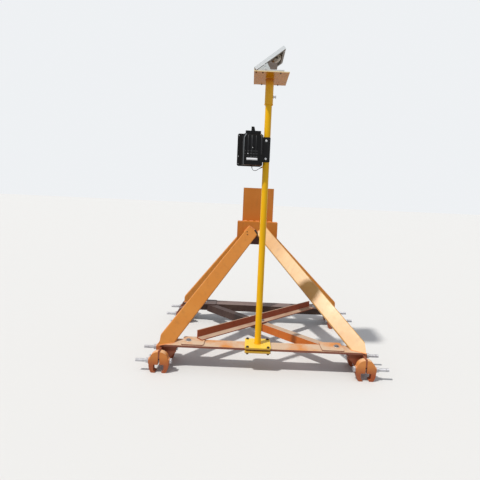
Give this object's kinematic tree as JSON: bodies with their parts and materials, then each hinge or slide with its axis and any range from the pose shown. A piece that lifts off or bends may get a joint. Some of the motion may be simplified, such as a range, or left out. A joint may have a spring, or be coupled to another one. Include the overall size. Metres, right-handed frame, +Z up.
{
  "type": "railway buffer stop",
  "caption": "Temporary railway buffer stop: a four-legged steel frame clamped to the rails, with a striking plate, a warning lamp and a solar panel on a pole.",
  "frame": {"origin": "middle of the overall box, at the level of the claw tips; X zero is the track centreline", "axes": "+X across the track, +Y along the track towards the oncoming train, +Z up"},
  "size_m": [1.851, 1.386, 2.3519],
  "materials": {
    "leg_orange": "satin",
    "head_orange": "satin",
    "brace_red": "satin",
    "bar_salmon": "matte",
    "clamp_orange": "satin",
    "pole_yellow": "gloss",
    "bracket_black": "satin",
    "zinc": "satin",
    "aluminium": "satin",
    "black_plastic": "matte",
    "lens_red": "gloss",
    "cell_glass": "gloss"
  },
  "bodies": {
    "stop": {"rear_crossbar": "bar_salmon", "front_crossbar": "brace_red", "crosshead": "head_orange", "striking_plate": "head_orange", "rear_leg_left": "leg_orange", "rear_leg_right": "leg_orange", "front_leg_left": "leg_orange", "front_leg_right": "leg_orange", "brace_plates": "bar_salmon", "brace_lower": "brace_red", "brace_upper": "brace_red", "brace_bolts": "zinc", "pole_foot_plate": "pole_yellow", "pole_clamp_plate": "pole_yellow", "pole": "pole_yellow", "lamp_bracket": "bracket_black", "lamp_housing": "black_plastic", "lamp_board": "black_plastic", "lamp_lens": "lens_red", "lamp_cable": "black_plastic", "rear_left_foot": "clamp_orange", "rear_left_clamp_rods": "zinc", "rear_right_foot": "clamp_orange", "rear_right_clamp_rods": "zinc", "front_left_foot": "clamp_orange", "front_left_clamp_rods": "zinc", "front_right_foot": "clamp_orange", "front_right_clamp_rods": "zinc", "left_outer_jaws": "clamp_orange", "left_inner_jaws": "clamp_orange", "right_outer_jaws": "clamp_orange", "right_inner_jaws": "clamp_orange"},
    "panel_head": {"sleeve": "pole_yellow", "sleeve_screw": "zinc", "top_plate": "pole_yellow", "panel_bracket": "aluminium", "panel_tilt_plates": "aluminium", "panel_frame": "aluminium", "panel_laminate": "cell_glass", "junction_box": "black_plastic", "panel_cable": "black_plastic"}
  },
  "joints": [
    {"name": "panel_turn", "type": "hinge", "parent": "stop", "child": "panel_head", "pos_m": [-0.038, -0.521, 2.1], "axis": [0, 0, 1], "range_deg": [-170, 170]}
  ]
}
